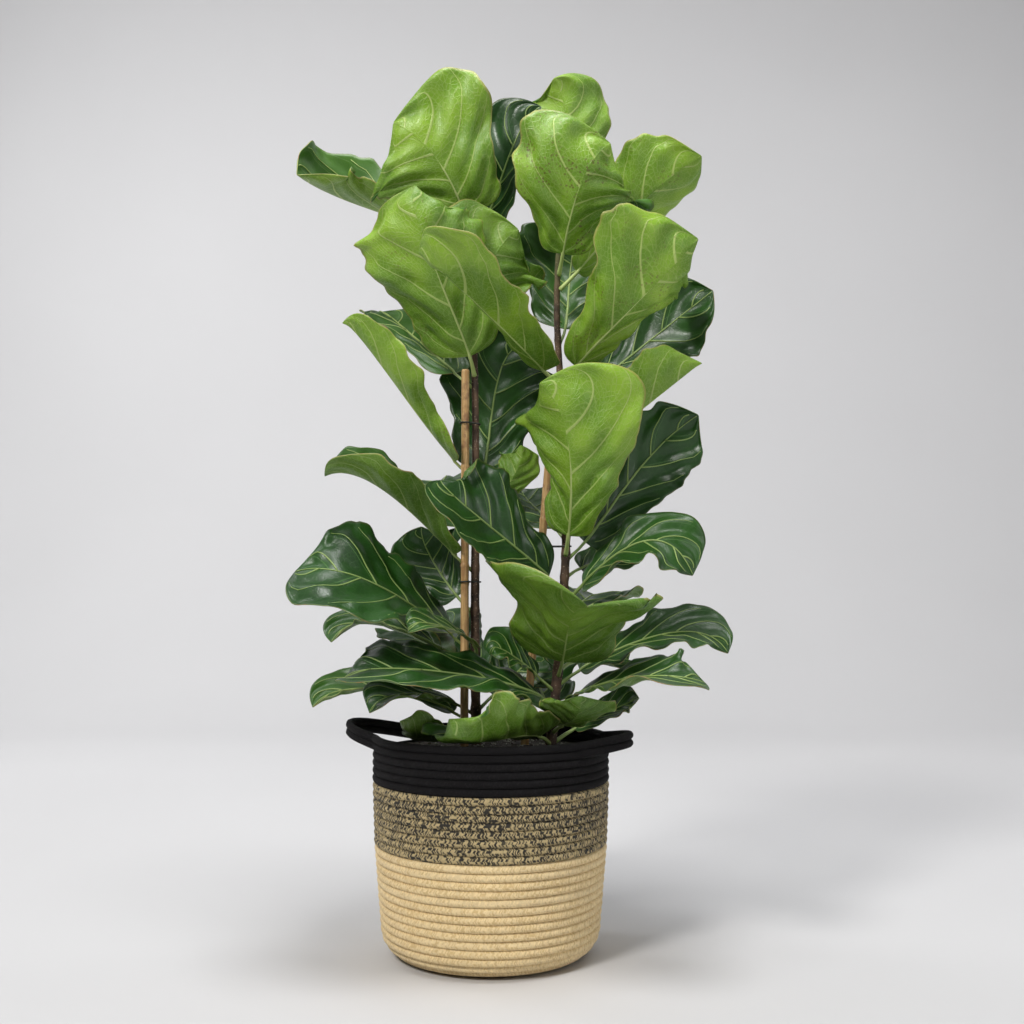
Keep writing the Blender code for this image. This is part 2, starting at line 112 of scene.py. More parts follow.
# Leaves with brown freckles, from 0 to 1
FRECKLES = {
    "leaf_r03": 1.0, "leaf_r06": 0.8, "leaf_l05": 0.6, "leaf_l03": 0.5, "leaf_r04": 0.5, "leaf_l04": 0.4,
}

# Stage: name, place, what it looks at, size in metres, power in watts, colour
WHITE = (1, 1, 1)
LIGHTS = (
    ("key", (-1.6, -2.2, 2.7), (0, 0, 0.6), 0.8, 88, (1.0, 0.98, 0.95)),
    ("fill", (2.4, -1.8, 1.3), (0, 0, 0.6), 1.6, 20, WHITE),
    ("top", (0.1, -0.5, 2.9), (0, 0, 0.5), 1.0, 46, WHITE),
    ("back_left", (-1.9, 1.3, 2.4), (-0.6, 3.4, 1.1), 1.8, 40, WHITE),
    ("back_right", (1.9, 1.3, 2.4), (0.6, 3.4, 0.6), 1.8, 15, WHITE),
)
SKY_STRENGTH = 0.42
SWEEP_TURN = 1.4  # radius of the floor's sweep, in metres
SWEEP_STEPS = 16
CAMERA_PLACE = (0.0267, -1.5, 0.4335)
CAMERA_LENS = 40.8
CAMERA_TILT = 4.53  # degrees above level


# ---------------------------------------------------------------- shader nodes

def add(tree, kind, values=None, **settings):
    """A shader node with its settings, and with its inputs set to numbers or linked to sockets."""
    made = tree.nodes.new("ShaderNode" + kind)
    for name, value in settings.items():
        setattr(made, name, value)
    for key, value in (values or {}).items():
        if isinstance(value, bpy.types.NodeSocket):
            tree.links.new(value, made.inputs[key])
        else:
            made.inputs[key].default_value = value
    return made


def calc(tree, operation, *values):
    """The result of one Math node."""
    made = add(tree, "Math", dict(enumerate(values)), operation=operation)
    return made.outputs[0]


def blend(tree, share, first, second, mode="MIX"):
    """The result of mixing two colours by a share."""
    made = add(tree, "Mix", data_type="RGBA", blend_type=mode)
    for key, value in ((0, share), (6, first), (7, second)):
        if isinstance(value, bpy.types.NodeSocket):
            tree.links.new(value, made.inputs[key])
        else:
            made.inputs[key].default_value = value if key == 0 else (*value, 1)
    return made.outputs[2]


def tint(tree, colour, mask, strength, target):
    """The colour drawn towards the target where the mask is, by the strength."""
    return blend(tree, calc(tree, "MULTIPLY", mask, strength), colour, target)


def fade(tree, value, low, high, start=0.0, end=1.0):
    """A smooth step of a value between two limits."""
    made = add(
        tree, "MapRange",
        {"Value": value, "From Min": low, "From Max": high, "To Min": start, "To Max": end},
        interpolation_type="SMOOTHSTEP",
    )
    return made.outputs[0]


def new_group(name, inputs, outputs):
    """An empty node group with its sockets: (tree, its inputs, its output node)."""
    tree = bpy.data.node_groups.new(name, "ShaderNodeTree")
    for title, kind, value in inputs:
        socket = tree.interface.new_socket(title, in_out="INPUT", socket_type="NodeSocket" + kind)
        if value is not None:
            socket.default_value = value
    for title, kind in outputs:
        tree.interface.new_socket(title, in_out="OUTPUT", socket_type="NodeSocket" + kind)
    start = tree.nodes.new("NodeGroupInput")
    end = tree.nodes.new("NodeGroupOutput")
    return tree, start.outputs, end


def use_group(tree, name, values):
    """A node group placed in a material, with its inputs set."""
    made = add(tree, "Group", node_tree=bpy.data.node_groups[name])
    for key, value in values.items():
        if isinstance(value, bpy.types.NodeSocket):
            tree.links.new(value, made.inputs[key])
        else:
            made.inputs[key].default_value = value
    return made.outputs


def make_vein_group():
    """Midrib, side veins and margin of a blade, from its own map: length along X, breadth along Y."""
    tree, given, result = new_group(
        "leaf_veins",
        (("Place", "Vector", None), ("Width", "Float", 0.03), ("Midrib Width", "Float", 0.03)),
        (("Midrib", "Float"), ("Side Veins", "Float"), ("Margin", "Float"), ("Fine Veins", "Float")),
    )
    place = add(tree, "SeparateXYZ", {0: given["Place"]}).outputs
    breadth = calc(tree, "MULTIPLY_ADD", place["Y"], 2.0, -1.0)
    out = calc(tree, "ABSOLUTE", breadth)
    left = calc(tree, "LESS_THAN", breadth, 0.0)
    slant = calc(tree, "MULTIPLY", out, calc(tree, "MULTIPLY_ADD", out, VEIN_CURVE, VEIN_SLANT))
    along = calc(tree, "MULTIPLY", calc(tree, "SUBTRACT", place["X"], slant), VEINS)
    along = calc(tree, "MULTIPLY_ADD", left, VEIN_STAGGER, along)
    from_vein = calc(tree, "PINGPONG", along, 0.5)
    width = calc(tree, "MULTIPLY", given["Width"], calc(tree, "MULTIPLY_ADD", out, -0.8, 1.0))
    side = fade(tree, from_vein, width, calc(tree, "MULTIPLY", width, 2.2), 1.0, 0.0)
    # Fine veins run between the side veins, across them
    ladder = calc(tree, "MULTIPLY_ADD", calc(tree, "MULTIPLY", from_vein, from_vein), 1.6, out)
    rungs = calc(tree, "PINGPONG", calc(tree, "MULTIPLY", ladder, 9.0), 0.5)
    fine = fade(tree, rungs, 0.04, 0.13, 1.0, 0.0)
    narrowing = calc(tree, "MULTIPLY_ADD", place["X"], -0.75, 1.0)
    mid_width = calc(tree, "MULTIPLY", given["Midrib Width"], narrowing)
    midrib = fade(tree, out, mid_width, calc(tree, "MULTIPLY", mid_width, 1.8), 1.0, 0.0)
    margin = fade(tree, out, 0.965, 0.99)
    for name, value in (("Midrib", midrib), ("Side Veins", side), ("Margin", margin), ("Fine Veins", fine)):
        tree.links.new(value, result.inputs[name])


def make_skin_group():
    """The fine net of a leaf's skin, its mottling and its freckles, over the solid."""
    tree, given, result = new_group(
        "leaf_skin",
        (("Place", "Vector", None), ("Net Size", "Float", 0.006)),
        (("Net", "Float"), ("Mottle", "Float"), ("Freckle", "Float"), ("Patch", "Float")),
    )
    scale = calc(tree, "DIVIDE", 1.0, given["Net Size"])
    cells = add(tree, "TexVoronoi", {"Vector": given["Place"], "Scale": scale}, feature="DISTANCE_TO_EDGE")
    net = fade(tree, cells.outputs["Distance"], 0.015, 0.09, 1.0, 0.0)
    mottle = add(tree, "TexNoise", {"Vector": given["Place"], "Scale": 38.0, "Detail": 4.0, "Roughness": 0.6})
    patch = add(tree, "TexNoise", {"Vector": given["Place"], "Scale": 13.0, "Detail": 2.0})
    grains = add(tree, "TexVoronoi", {"Vector": given["Place"], "Scale": 210.0})
    dots = fade(tree, grains.outputs["Distance"], 0.18, 0.42, 1.0, 0.0)
    where = add(tree, "TexNoise", {"Vector": given["Place"], "Scale": 30.0, "Detail": 3.0})
    freckle = calc(tree, "MULTIPLY", dots, fade(tree, where.outputs["Fac"], 0.5, 0.66))
    for name, value in (
        ("Net", net), ("Mottle", mottle.outputs["Fac"]),
        ("Freckle", freckle), ("Patch", patch.outputs["Fac"]),
    ):
        tree.links.new(value, result.inputs[name])


def make_braid_group():
    """Braided strands on a rope, from its own map: metres along X, and rows with their turn in Y. The valley
    output is a mask of painted shade for the hollows between strands and between rows.
    """
    tree, given, result = new_group(
        "rope_braid",
        (("Place", "Vector", None), ("Strand", "Float", 0.0013), ("Slant", "Float", 1.2)),
        (("Strand Shade", "Float"), ("Relief", "Float"), ("Painted Valley Shade", "Float")),
    )
    place = add(tree, "SeparateXYZ", {0: given["Place"]}).outputs
    row = calc(tree, "FLOOR", place["Y"])
    lanes = calc(tree, "MULTIPLY", calc(tree, "FRACT", place["Y"]), BRAID_LANES)
    lane = calc(tree, "FLOOR", lanes)
    lean = calc(tree, "PINGPONG", lanes, 1.0)
    wander = add(tree, "TexNoise", {"Vector": given["Place"], "Scale": 90.0, "Detail": 2.0})
    along = calc(tree, "DIVIDE", place["X"], given["Strand"])
    along = calc(tree, "ADD", along, calc(tree, "MULTIPLY", lean, given["Slant"]))
    along = calc(tree, "MULTIPLY_ADD", wander.outputs["Fac"], 1.5, along)
    number = calc(tree, "FLOOR", along)
    key = add(tree, "CombineXYZ", {0: number, 1: calc(tree, "MULTIPLY_ADD", row, 11.0, lane), 2: 0.5})
    shade = add(tree, "TexWhiteNoise", {"Vector": key.outputs[0]}, noise_dimensions="3D")
    rise = calc(tree, "PINGPONG", along, 0.5)
    relief = calc(tree, "POWER", calc(tree, "MULTIPLY", rise, 2.0), 0.5)
    edge = calc(tree, "PINGPONG", lanes, 0.5)
    relief = calc(tree, "MULTIPLY", relief, fade(tree, edge, 0.0, 0.22, 0.55, 1.0))
    # Painted shade: this mask marks where the strands sink and where two rows meet, so the colour can be
    # darkened there.
    painted_valley_shade = fade(tree, relief, 0.25, 0.7, 1.0, 0.0)
    between = fade(tree, calc(tree, "PINGPONG", place["Y"], 0.5), 0.13, 0.22)
    painted_valley_shade = calc(tree, "MAXIMUM", painted_valley_shade, between)
    for name, value in (("Strand Shade", shade.outputs["Value"]), ("Relief", relief), ("Painted Valley Shade", painted_valley_shade)):
        tree.links.new(value, result.inputs[name])


def new_material(name, roughness, **constants):
    """A material with its Principled shader: (material, tree, shader)."""
    made = bpy.data.materials.new(name)
    made.use_nodes = True
    shader = made.node_tree.nodes["Principled BSDF"]
    shader.inputs["Roughness"].default_value = roughness
    for socket, value in constants.items():
        shader.inputs[socket.replace("_", " ")].default_value = value
    return made, made.node_tree, shader


def set_bump(tree, shader, height, strength, distance):
    bump = add(tree, "Bump", {"Height": height, "Strength": strength, "Distance": distance})
    tree.links.new(bump.outputs["Normal"], shader.inputs["Normal"])


def leaf_facts(tree):
    """(youth, freckles, map place, object place) of a leaf's surface."""
    youth = add(tree, "Attribute", attribute_name="youth").outputs["Fac"]
    freckled = add(tree, "Attribute", attribute_name="freckled").outputs["Fac"]
    where = add(tree, "TexCoord").outputs
    return youth, freckled, where["UV"], where["Object"]


def make_leaf_top():
    made, tree, shader = new_material("leaf_top", 0.3)
    youth, _, place, solid = leaf_facts(tree)
    veins = use_group(tree, "leaf_veins", {"Place": place, "Width": 0.012, "Midrib Width": 0.018})
    skin = use_group(tree, "leaf_skin", {"Place": solid, "Net Size": 0.0075})
    colour = blend(tree, youth, (0.005, 0.034, 0.004), (0.060, 0.17, 0.012))
    rich = blend(tree, youth, (0.010, 0.060, 0.006), (0.10, 0.25, 0.020))
    colour = blend(tree, fade(tree, skin["Patch"], 0.35, 0.7), colour, rich)
    colour = tint(tree, colour, skin["Net"], 0.16, (0.04, 0.13, 0.02))
    pale = blend(tree, youth, (0.075, 0.19, 0.045), (0.26, 0.40, 0.10))
    colour = tint(tree, colour, veins["Side Veins"], 0.5, pale)
    colour = tint(tree, colour, veins["Midrib"], 0.85, (0.22, 0.36, 0.10))
    colour = tint(tree, colour, veins["Margin"], 0.3, (0.16, 0.15, 0.05))
    tree.links.new(colour, shader.inputs["Base Color"])
    rough = calc(tree, "MULTIPLY_ADD", skin["Mottle"], 0.25, 0.24)
    rough = calc(tree, "MULTIPLY_ADD", youth, 0.12, rough)
    tree.links.new(rough, shader.inputs["Roughness"])
    height = calc(tree, "MULTIPLY", calc(tree, "MAXIMUM", veins["Side Veins"], veins["Midrib"]), -0.9)
    height = calc(tree, "MULTIPLY_ADD", skin["Net"], -0.22, height)
    height = calc(tree, "MULTIPLY_ADD", skin["Mottle"], 0.5, height)
    set_bump(tree, shader, height, 0.4, 0.8 * MM)
    return made


def make_leaf_under():
    made, tree, shader = new_material("leaf_under", 0.5)
    youth, freckled, place, solid = leaf_facts(tree)
    veins = use_group(tree, "leaf_veins", {"Place": place, "Width": 0.026, "Midrib Width": 0.022})
    skin = use_group(tree, "leaf_skin", {"Place": solid, "Net Size": 0.0062})
    colour = blend(tree, youth, (0.028, 0.088, 0.007), (0.15, 0.31, 0.010))
    rich = blend(tree, youth, (0.055, 0.135, 0.012), (0.31, 0.52, 0.025))
    colour = blend(tree, fade(tree, skin["Patch"], 0.35, 0.68), colour, rich)
    colour = tint(tree, colour, skin["Mottle"], 0.3, (0.07, 0.17, 0.012))
    pale = blend(tree, youth, (0.17, 0.27, 0.08), (0.44, 0.56, 0.15))
    colour = tint(tree, colour, skin["Net"], 0.24, pale)
    colour = tint(tree, colour, veins["Fine Veins"], 0.22, pale)
    colour = tint(tree, colour, veins["Side Veins"], 0.92, pale)
    colour = tint(tree, colour, veins["Margin"], 0.5, (0.42, 0.34, 0.12))
    brown = calc(tree, "MULTIPLY", skin["Freckle"], freckled)
    colour = tint(tree, colour, brown, 0.75, (0.12, 0.075, 0.02))
    tree.links.new(colour, shader.inputs["Base Color"])
    rough = calc(tree, "MULTIPLY_ADD", skin["Mottle"], 0.25, 0.32)
    tree.links.new(rough, shader.inputs["Roughness"])
    height = calc(tree, "MULTIPLY", calc(tree, "MAXIMUM", veins["Side Veins"], veins["Midrib"]), 0.8)
    height = calc(tree, "MULTIPLY_ADD", veins["Fine Veins"], 0.3, height)
    height = calc(tree, "MULTIPLY_ADD", skin["Net"], 0.35, height)
    height = calc(tree, "MULTIPLY_ADD", skin["Mottle"], 0.4, height)
    set_bump(tree, shader, height, 0.65, 0.8 * MM)
    return made


def make_leaf_rib():
    """Petiole, midrib and raised side veins."""
    made, tree, shader = new_material("leaf_rib", 0.45)
    youth, _, _, solid = leaf_facts(tree)
    streaks = add(tree, "TexNoise", {"Vector": solid, "Scale": 90.0, "Detail": 3.0}).outputs["Fac"]
    colour = blend(tree, youth, (0.20, 0.31, 0.09), (0.56, 0.66, 0.24))
    colour = tint(tree, colour, streaks, 0.45, (0.26, 0.33, 0.08))
    tree.links.new(colour, shader.inputs["Base Color"])
    set_bump(tree, shader, streaks, 0.3, 0.4 * MM)
    return made


def make_leaf_edge():
    made, tree, shader = new_material("leaf_edge", 0.5)
    youth, _, _, solid = leaf_facts(tree)
    spots = add(tree, "TexNoise", {"Vector": solid, "Scale": 60.0, "Detail": 3.0}).outputs["Fac"]
    colour = blend(tree, youth, (0.12, 0.20, 0.05), (0.45, 0.46, 0.16))
    colour = blend(tree, fade(tree, spots, 0.45, 0.65), colour, (0.28, 0.17, 0.06))
    tree.links.new(colour, shader.inputs["Base Color"])
    return made


def make_rope(name, ground, fleck, share, dark, sheen, specular=0.5):
    """A braided rope: each strand is the ground or the fleck colour, and painted shade darkens it in the
    valleys between strands and between rows.
    """
    made, tree, shader = new_material(
        name, 0.9, Sheen_Weight=sheen, Sheen_Roughness=0.6, Specular_IOR_Level=specular,
    )
    where = add(tree, "TexCoord").outputs
    braid = use_group(tree, "rope_braid", {"Place": where["UV"]})
    fibres = add(tree, "TexNoise", {"Vector": where["Object"], "Scale": 900.0, "Detail": 2.0}).outputs["Fac"]
    stain = add(tree, "TexNoise", {"Vector": where["Object"], "Scale": 14.0, "Detail": 3.0}).outputs["Fac"]
    row = calc(tree, "FLOOR", add(tree, "SeparateXYZ", {0: where["UV"]}).outputs["Y"])
    dye = add(tree, "TexWhiteNoise", {"W": row}, noise_dimensions="1D").outputs["Value"]
    limit = calc(tree, "MULTIPLY_ADD", calc(tree, "SUBTRACT", dye, 0.5), 0.4, share)
    below, above = calc(tree, "SUBTRACT", limit, 0.12), calc(tree, "ADD", limit, 0.12)
    pick = fade(tree, braid["Strand Shade"], below, above)
    colour = blend(tree, pick, fleck, ground)
    tone = calc(tree, "MULTIPLY_ADD", braid["Strand Shade"], 0.3, 0.84)
    tone = calc(tree, "MULTIPLY", tone, calc(tree, "MULTIPLY_ADD", fibres, 0.5, 0.75))
    tone = calc(tree, "MULTIPLY", tone, calc(tree, "MULTIPLY_ADD", stain, 0.3, 0.85))
    shaded = blend(tree, 1.0, colour, (1, 1, 1), "MULTIPLY")
    tree.links.new(tone, shaded.node.inputs[7])
    # Painted shade: the valleys and the grooves between rows are drawn towards the dark colour.
    colour = blend(tree, calc(tree, "MULTIPLY", braid["Painted Valley Shade"], 0.35), shaded, dark)
    tree.links.new(colour, shader.inputs["Base Color"])
    height = calc(tree, "MULTIPLY_ADD", fibres, 0.3, braid["Relief"])
    set_bump(tree, shader, height, 0.7, 0.7 * MM)
    return made


def make_soil_material():
    made, tree, shader = new_material("potting_soil", 0.95)
    place = add(tree, "TexCoord").outputs["Object"]
    crumbs = add(tree, "TexVoronoi", {"Vector": place, "Scale": 230.0})
    damp = add(tree, "TexNoise", {"Vector": place, "Scale": 40.0, "Detail": 5.0}).outputs["Fac"]
    colour = blend(tree, damp, (0.012, 0.009, 0.008), (0.055, 0.042, 0.034))
    dye = add(tree, "SeparateColor", {0: crumbs.outputs["Color"]}).outputs["Red"]
    pale = calc(tree, "GREATER_THAN", dye, 0.86)
    colour = tint(tree, colour, pale, 0.5, (0.22, 0.20, 0.18))
    tree.links.new(colour, shader.inputs["Base Color"])
    set_bump(tree, shader, crumbs.outputs["Distance"], 0.9, 2.0 * MM)
    return made


def make_grit():
    """Pale mineral grains and bark crumbs on the soil."""
    made, tree, shader = new_material("soil_grit", 0.9)
    place = add(tree, "TexCoord").outputs["Object"]
    kind = add(tree, "TexNoise", {"Vector": place, "Scale": 75.0, "Detail": 1.0}).outputs["Fac"]
    grain = add(tree, "TexNoise", {"Vector": place, "Scale": 900.0}).outputs["Fac"]
    colour = blend(tree, fade(tree, kind, 0.49, 0.53), (0.05, 0.034, 0.024), (0.42, 0.41, 0.38))
    tree.links.new(colour, shader.inputs["Base Color"])
    set_bump(tree, shader, grain, 0.6, 0.5 * MM)
    return made


def make_bark():
    made, tree, shader = new_material("stem_bark", 0.75)
    place = add(tree, "TexCoord").outputs["Object"]
    height = add(tree, "SeparateXYZ", {0: place}).outputs["Z"]
    stretched = add(tree, "Mapping", {"Vector": place, "Scale": (1.0, 1.0, 0.25)}).outputs[0]
    furrows = add(tree, "TexNoise", {"Vector": stretched, "Scale": 320.0, "Detail": 5.0, "Roughness": 0.7})
    patches = add(tree, "TexNoise", {"Vector": place, "Scale": 45.0, "Detail": 3.0}).outputs["Fac"]
    pores = add(tree, "TexVoronoi", {"Vector": place, "Scale": 260.0}).outputs["Distance"]
    colour = blend(tree, fade(tree, patches, 0.35, 0.65), (0.035, 0.019, 0.012), (0.13, 0.075, 0.045))
    colour = blend(tree, fade(tree, pores, 0.12, 0.3, 1.0, 0.0), colour, (0.26, 0.19, 0.13))
    green = calc(tree, "MULTIPLY", fade(tree, height, 0.80, 0.97), 0.8)
    colour = blend(tree, green, colour, (0.10, 0.15, 0.035))
    tree.links.new(colour, shader.inputs["Base Color"])
    relief = calc(tree, "ADD", furrows.outputs["Fac"], calc(tree, "MULTIPLY", patches, 0.6))
    set_bump(tree, shader, relief, 0.7, 0.9 * MM)
    return made


def make_bamboo():
    made, tree, shader = new_material("bamboo_cane", 0.4)
    place = add(tree, "TexCoord").outputs["Object"]
    height = add(tree, "SeparateXYZ", {0: place}).outputs["Z"]
    stretched = add(tree, "Mapping", {"Vector": place, "Scale": (1.0, 1.0, 0.06)}).outputs[0]
    streaks = add(tree, "TexNoise", {"Vector": stretched, "Scale": 420.0, "Detail": 4.0}).outputs["Fac"]
    blotch = add(tree, "TexNoise", {"Vector": place, "Scale": 38.0, "Detail": 5.0, "Roughness": 0.65})
    colour = blend(tree, fade(tree, streaks, 0.35, 0.7), (0.40, 0.225, 0.085), (0.66, 0.44, 0.20))
    weathered = calc(tree, "MULTIPLY", fade(tree, blotch.outputs["Fac"], 0.46, 0.62), 0.75)
    weathered = calc(tree, "MULTIPLY", weathered, fade(tree, height, 0.35, 0.68, 0.25, 1.0))
    colour = blend(tree, weathered, colour, (0.15, 0.055, 0.03))
    tree.links.new(colour, shader.inputs["Base Color"])
    set_bump(tree, shader, streaks, 0.35, 0.5 * MM)
    return made


def make_tie():
    made, tree, shader = new_material("tie_cord", 0.6)
    place = add(tree, "TexCoord").outputs["Object"]
    twist = add(tree, "TexNoise", {"Vector": place, "Scale": 1400.0, "Detail": 1.0}).outputs["Fac"]
    colour = blend(tree, twist, (0.006, 0.006, 0.006), (0.03, 0.03, 0.028))
    tree.links.new(colour, shader.inputs["Base Color"])
    set_bump(tree, shader, twist, 0.6, 0.4 * MM)
    return made


# ---------------------------------------------------------------- mesh helpers

def deselect():
    bpy.ops.object.select_all(action="DESELECT")


def edit_all():
    """Edit mode, with the whole mesh selected."""
    bpy.ops.object.mode_set(mode="EDIT")
    bpy.ops.mesh.select_all(action="SELECT")


def only(piece):
    """Makes a piece the one selected and active object."""
    deselect()
    piece.select_set(True)
    bpy.context.view_layer.objects.active = piece


def apply_all(piece):
    only(piece)
    for modifier in list(piece.modifiers):
        bpy.ops.object.modifier_apply(modifier=modifier.name)


def joined(parts, name):
    """Several objects made one."""
    deselect()
    for part in parts:
        part.select_set(True)
    bpy.context.view_layer.objects.active = parts[0]
    if len(parts) > 1:
        bpy.ops.object.join()
    made = bpy.context.view_layer.objects.active
    made.name = name
    made.data.name = name
    return made


def settle(piece, node, materials=()):
    """Gives a piece its materials, lets it stand for its CAD node, and lets it ride on the body."""
    for material in materials:
        piece.data.materials.append(material)
    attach(piece, "root")
    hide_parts(node)
    return piece


def merged(node):
    """A CAD node's shape with its loose triangles joined."""
    shape = bmesh.new()
    shape.from_mesh(nodes[node].data)
    bmesh.ops.remove_doubles(shape, verts=shape.verts, dist=WELD)
    shape.normal_update()
    return shape


def flat_ends(shape):
    """The corners of the two largest flat faces of a long closed shape, which are its ends."""
    found = []
    seen = set()
    for face in shape.faces:
        if face in seen:
            continue
        flat = {face}
        waiting = [face]
        while waiting:
            for edge in waiting.pop().edges:
                for other in edge.link_faces:
                    if other not in flat and other.normal.dot(face.normal) > FLAT:
                        flat.add(other)
                        waiting.append(other)
        seen |= flat
        found.append({corner for part in flat for corner in part.verts})
    found.sort(key=len)
    return found[-2:]


def middle_of(corners):
    return sum((corner.co for corner in corners), Vector()) / len(corners)


def roundness(corners):
    """How even the distances are from a face's middle to its corners, 1 for a circle."""
    middle = middle_of(corners)
    reach = [(corner.co - middle).length for corner in corners]
    return min(reach) / max(reach)


def rings_of(node):
    """The rings of points of a long CAD solid, from its lower or rounder end to the other end."""
    shape = merged(node)
    ends = flat_ends(shape)
    if node.startswith("leaf"):
        start = max(ends, key=roundness)
    else:
        start = min(ends, key=lambda corners: middle_of(corners).z)
    layers = [start]
    reached = set(start)
    while True:
        following = {edge.other_vert(corner) for corner in layers[-1] for edge in corner.link_edges}
        following -= reached
        if not following:
            break
        reached |= following
        layers.append(following)
    rings = []
    for number, layer in enumerate(layers):
        before = middle_of(layers[max(number - 1, 0)])
        after = middle_of(layers[min(number + 1, len(layers) - 1)])
        rings.append(walked(layer, after - before))
    shape.free()
    return rings


def walked(layer, ahead):
    """A ring's corners in order, clockwise as seen looking ahead, as plain points."""
    beside = {}
    for corner in layer:
        steps = [edge for edge in corner.link_edges if edge.other_vert(corner) in layer]
        steps = [edge for edge in steps if any(set(face.verts) - layer for face in edge.link_faces)]
        beside[corner] = [edge.other_vert(corner) for edge in steps]
    order = [min(layer, key=lambda corner: tuple(corner.co))]
    while len(order) < len(layer):
        order.append(next(corner for corner in beside[order[-1]] if corner not in order))
    points = [corner.co.copy() for corner in order]
    middle = middle_of(order)
    area = Vector()
    for here, following in zip(points, points[1:] + points[:1]):
        area += (here - middle).cross(following - middle)
    return points[::-1] if area.dot(ahead) > 0 else points


# ---------------------------------------------------------------- basket

def wall_profile():
    """Heights and outer radii of the basket's wall, from its CAD nodes."""
    outside = {}
    for node, _, _ in BANDS[:3]:
        for vertex in nodes[node].data.vertices:
            height = round(vertex.co.z, 5)
            radius = math.hypot(vertex.co.x, vertex.co.y)
            outside[height] = max(outside.get(height, 0.0), radius)
    heights = sorted(outside)
    return heights, [outside[height] for height in heights]


def handle_pull():
    """Angles round the rim, and how far out and up the rim is drawn at each, from its CAD node."""
    spots = {}
    for vertex in nodes["basket_rim_handles"].data.vertices:
        angle = round(math.atan2(vertex.co.y, vertex.co.x), 3)
        spots.setdefault(angle, []).append((math.hypot(vertex.co.x, vertex.co.y), vertex.co.z))
    angles = sorted(spots)
    middles = [np.mean([(min(r), max(r)) for r in zip(*spots[angle])], axis=1) for angle in angles]
    radii, heights = np.array(middles).T
    angles = [angles[-1] - 2 * math.pi] + angles + [angles[0] + 2 * math.pi]
    radii = np.concatenate([radii[-1:], radii, radii[:1]])
    heights = np.concatenate([heights[-1:], heights, heights[:1]])
    return angles, radii - radii.min(), heights - heights.min()


def rope_row(radius, height, half_high, number, seed, steps=AROUND):
    """One turn of rope, squeezed between its neighbours, with a map in metres along it."""
    deselect()
    bpy.ops.mesh.primitive_torus_add(
        location=(0, 0, height), major_radius=radius, minor_radius=ROPE_HALF,
        major_segments=steps, minor_segments=ROPE_SIDES, generate_uvs=True,
    )
    row = bpy.context.object
    edit_all()
    bpy.ops.transform.resize(value=(1, 1, half_high / ROPE_HALF))
    bpy.ops.object.mode_set(mode="OBJECT")
    bpy.ops.object.transform_apply(location=True, rotation=False, scale=False)
    for vertex in row.data.vertices:
        place = vertex.co
        angle = math.atan2(place.y, place.x)
        around = Vector((math.cos(angle) * 3, math.sin(angle) * 3, number * 0.7 + seed))
        out = 0.35 * MM * noise.noise(around)
        place.x += out * math.cos(angle)
        place.y += out * math.sin(angle)
        place.z += 0.22 * MM * noise.noise(around + Vector((9, 4, 2)))
    length = 2 * math.pi * radius
    for spot in row.data.uv_layers[0].data:
        spot.uv = (spot.uv[0] * length + number * 0.0173, number + spot.uv[1] * 0.999)
    return row


def build_basket(ropes):
    heights, radii = wall_profile()
    angles, pull_out, pull_up = handle_pull()
    number = 0
    foot = radii[0]
    for band, count, rope in BANDS:
        low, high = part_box(band)
        if band == "basket_rim_handles":
            base = min(vertex.co.z for vertex in nodes[band].data.vertices)
            top = base + 2 * pitch
        else:
            base, top = low.z, high.z
            pitch = (top - base) / count
        parts = []
        if band == "basket_natural":
            # Rows run down the wall and on round the foot, evenly along its outline, then across the floor
            turn = FOOT_TURN - ROPE_HALF
            wall = top - FOOT_TURN
            spacing = (wall + turn * math.pi / 2) / FOOT_ROWS
            for row in range(FOOT_ROWS):
                down = (row + 0.5) * spacing
                if down < wall:
                    height = top - down
                    radius = float(np.interp(height, heights, radii)) - ROPE_HALF
                else:
                    angle = (down - wall) / turn
                    radius = foot + turn * math.cos(angle)
                    height = FOOT_TURN - turn * math.sin(angle)
                parts.append(rope_row(radius, height, spacing / 2 * ROPE_SQUEEZE, number, 0.0))
                number += 1
            radius = foot - ROPE_HALF
            while radius > ROPE_HALF:
                parts.append(rope_row(radius, ROPE_HALF, ROPE_HALF, number, 0.3, 96))
                number += 1
                radius -= 2 * ROPE_HALF * 0.985
            count = 0
        for row in range(count):
            height = base + (row + 0.5) * pitch
            radius = float(np.interp(height, heights, radii)) - ROPE_HALF
            parts.append(rope_row(radius, height, pitch / 2 * ROPE_SQUEEZE, number, 0.0))
            number += 1
        piece = joined(parts, "coiled_" + band)
        if band == "basket_rim_handles":
            for vertex in piece.data.vertices:
                angle = math.atan2(vertex.co.y, vertex.co.x)
                radius = math.hypot(vertex.co.x, vertex.co.y) + np.interp(angle, angles, pull_out)
                vertex.co.x = radius * math.cos(angle)
                vertex.co.y = radius * math.sin(angle)
                vertex.co.z += np.interp(angle, angles, pull_up)
        only(piece)
        bpy.ops.object.shade_smooth()
        piece.data.materials.clear()
        settle(piece, band, [ropes[rope]])


# ---------------------------------------------------------------- soil

